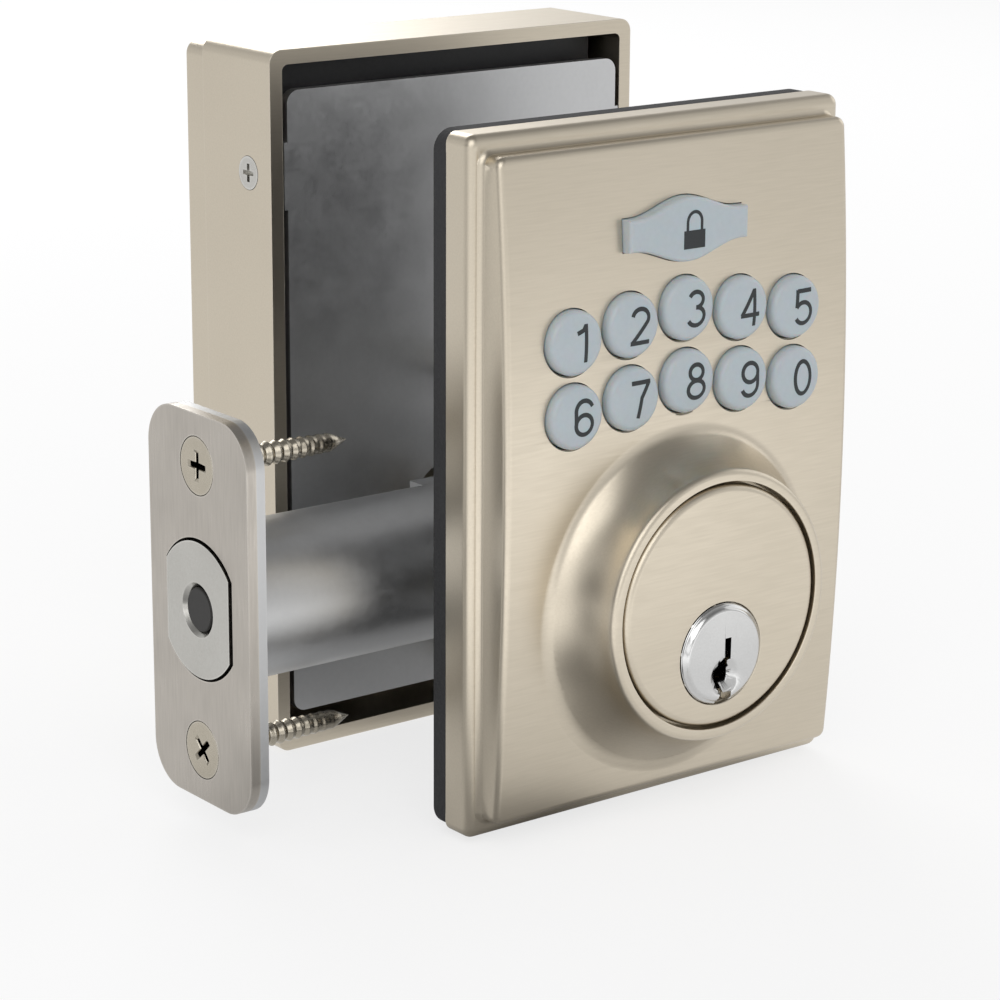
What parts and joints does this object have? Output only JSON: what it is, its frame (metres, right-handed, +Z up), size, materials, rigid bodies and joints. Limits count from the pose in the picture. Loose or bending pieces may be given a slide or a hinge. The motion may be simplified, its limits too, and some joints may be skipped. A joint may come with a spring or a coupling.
{
  "type": "keypad deadbolt lock",
  "caption": "Keypad deadbolt door lock: arched plate with round keys and a key cylinder outside, faceplated bolt in the door edge, motor drive, batteries and thumbturn inside.",
  "frame": {"origin": "on the spindle axis, in the plane of the door's outer face", "axes": "+X to the right seen from outside, +Y into the door towards the room, +Z up; the latch points along -X"},
  "size_m": [0.0946, 0.107, 0.1076],
  "materials": {
    "satin_nickel": "satin nickel plate",
    "chrome_plate": "polished",
    "bolt_nickel": "bright nickel plate",
    "zinc_steel": "zinc plate",
    "hard_steel": "black oxide",
    "spring_steel": "drawn",
    "brass_part": "turned",
    "foam_gasket": "matt foam",
    "key_plastic": "satin, translucent",
    "silicone": "matt",
    "circuit_board": "solder mask",
    "black_plastic": "moulded",
    "white_plastic": "moulded acetal",
    "cable_film": "flat cable",
    "cell_wrap": "printed film"
  },
  "bodies": {
    "lock_body": {"exterior_gasket": "foam_gasket", "escutcheon": "satin_nickel", "exterior_back_plate": "zinc_steel", "back_plate_screws": "zinc_steel", "bolt_posts": "zinc_steel", "keypad_mat": "silicone", "keypad_board": "circuit_board", "keypad_board_screws": "zinc_steel", "cylinder_housing": "satin_nickel", "cylinder_screws": "zinc_steel", "driver_pins": "brass_part", "pin_springs": "spring_steel", "faceplate": "satin_nickel", "latch_backplate": "zinc_steel", "latch_tube": "zinc_steel", "latch_case": "zinc_steel", "wood_screws": "satin_nickel", "mounting_plate": "zinc_steel", "through_bolts": "zinc_steel", "ribbon_cable": "cable_film", "interior_housing": "satin_nickel", "housing_screws": "zinc_steel", "control_board": "circuit_board", "board_screws": "zinc_steel", "battery_tray": "black_plastic", "battery_cells": "cell_wrap", "battery_contacts": "spring_steel", "gear_chassis": "black_plastic", "chassis_screws": "zinc_steel", "drive_motor": "zinc_steel", "idler_axle": "spring_steel", "thumbturn_bushing": "black_plastic"},
    "plug": {"cylinder_plug": "chrome_plate", "key_pins": "brass_part", "plug_clip": "spring_steel", "plug_gear": "brass_part"},
    "key_gear": {"spindle_gear": "brass_part"},
    "thumbturn": {"thumbturn": "satin_nickel", "thumbturn_clip": "spring_steel", "spindle": "zinc_steel", "latch_hub": "zinc_steel", "output_gear": "white_plastic"},
    "deadbolt": {"deadbolt": "bolt_nickel", "anti_saw_pin": "hard_steel", "bolt_link": "zinc_steel", "link_pin": "zinc_steel"},
    "idler": {"idler_gear": "white_plastic"},
    "pinion": {"motor_pinion": "brass_part"},
    "battery_cover": {"battery_cover": "satin_nickel"},
    "lock_key": {"lock_key": "key_plastic"},
    "key_1": {"key_1": "key_plastic"},
    "key_2": {"key_2": "key_plastic"},
    "key_3": {"key_3": "key_plastic"},
    "key_4": {"key_4": "key_plastic"},
    "key_5": {"key_5": "key_plastic"},
    "key_6": {"key_6": "key_plastic"},
    "key_7": {"key_7": "key_plastic"},
    "key_8": {"key_8": "key_plastic"},
    "key_9": {"key_9": "key_plastic"},
    "key_0": {"key_0": "key_plastic"}
  },
  "joints": [
    {"name": "thumbturn_turn", "type": "hinge", "parent": "lock_body", "child": "thumbturn", "pos_m": [0, 0.05, 0], "axis": [0, 1, 0], "range_deg": [0, 90]},
    {"name": "bolt_slide", "type": "slide", "parent": "lock_body", "child": "deadbolt", "axis": [-1, 0, 0], "range_m": [0, 0.0254]},
    {"name": "idler_turn", "type": "hinge", "parent": "lock_body", "child": "idler", "pos_m": [0.00435, 0.046, -0.01623], "axis": [0, 1, 0], "range_deg": [-330, 0]},
    {"name": "pinion_turn", "type": "hinge", "parent": "lock_body", "child": "pinion", "pos_m": [-0.00747, 0.046, -0.01831], "axis": [0, 1, 0], "range_deg": [0, 990]},
    {"name": "plug_turn", "type": "hinge", "parent": "lock_body", "child": "plug", "pos_m": [0, -0.012, -0.007], "axis": [0, 1, 0], "range_deg": [-90, 90]},
    {"name": "key_gear_turn", "type": "hinge", "parent": "lock_body", "child": "key_gear", "pos_m": [0, 0.005, 0], "axis": [0, 1, 0], "range_deg": [-90, 90]},
    {"name": "cover_slide", "type": "slide", "parent": "lock_body", "child": "battery_cover", "axis": [0, 0, 1], "range_m": [0, 0.056]},
    {"name": "key_1_press", "type": "slide", "parent": "lock_body", "child": "key_1", "axis": [0, 1, 0], "range_m": [0, 0.001], "stiffness_N_per_m": 800},
    {"name": "key_2_press", "type": "slide", "parent": "lock_body", "child": "key_2", "axis": [0, 1, 0], "range_m": [0, 0.001], "stiffness_N_per_m": 800},
    {"name": "key_3_press", "type": "slide", "parent": "lock_body", "child": "key_3", "axis": [0, 1, 0], "range_m": [0, 0.001], "stiffness_N_per_m": 800},
    {"name": "key_4_press", "type": "slide", "parent": "lock_body", "child": "key_4", "axis": [0, 1, 0], "range_m": [0, 0.001], "stiffness_N_per_m": 800},
    {"name": "key_5_press", "type": "slide", "parent": "lock_body", "child": "key_5", "axis": [0, 1, 0], "range_m": [0, 0.001], "stiffness_N_per_m": 800},
    {"name": "key_6_press", "type": "slide", "parent": "lock_body", "child": "key_6", "axis": [0, 1, 0], "range_m": [0, 0.001], "stiffness_N_per_m": 800},
    {"name": "key_7_press", "type": "slide", "parent": "lock_body", "child": "key_7", "axis": [0, 1, 0], "range_m": [0, 0.001], "stiffness_N_per_m": 800},
    {"name": "key_8_press", "type": "slide", "parent": "lock_body", "child": "key_8", "axis": [0, 1, 0], "range_m": [0, 0.001], "stiffness_N_per_m": 800},
    {"name": "key_9_press", "type": "slide", "parent": "lock_body", "child": "key_9", "axis": [0, 1, 0], "range_m": [0, 0.001], "stiffness_N_per_m": 800},
    {"name": "key_0_press", "type": "slide", "parent": "lock_body", "child": "key_0", "axis": [0, 1, 0], "range_m": [0, 0.001], "stiffness_N_per_m": 800},
    {"name": "lock_key_press", "type": "slide", "parent": "lock_body", "child": "lock_key", "axis": [0, 1, 0], "range_m": [0, 0.001], "stiffness_N_per_m": 800}
  ],
  "couplings": [
    {"joint": "thumbturn_turn", "follows": "bolt_slide", "rad_per_m": 61.84},
    {"joint": "idler_turn", "follows": "bolt_slide", "rad_per_m": -226.75},
    {"joint": "pinion_turn", "follows": "bolt_slide", "rad_per_m": 680.24},
    {"joint": "key_gear_turn", "follows": "plug_turn", "ratio": -1}
  ]
}
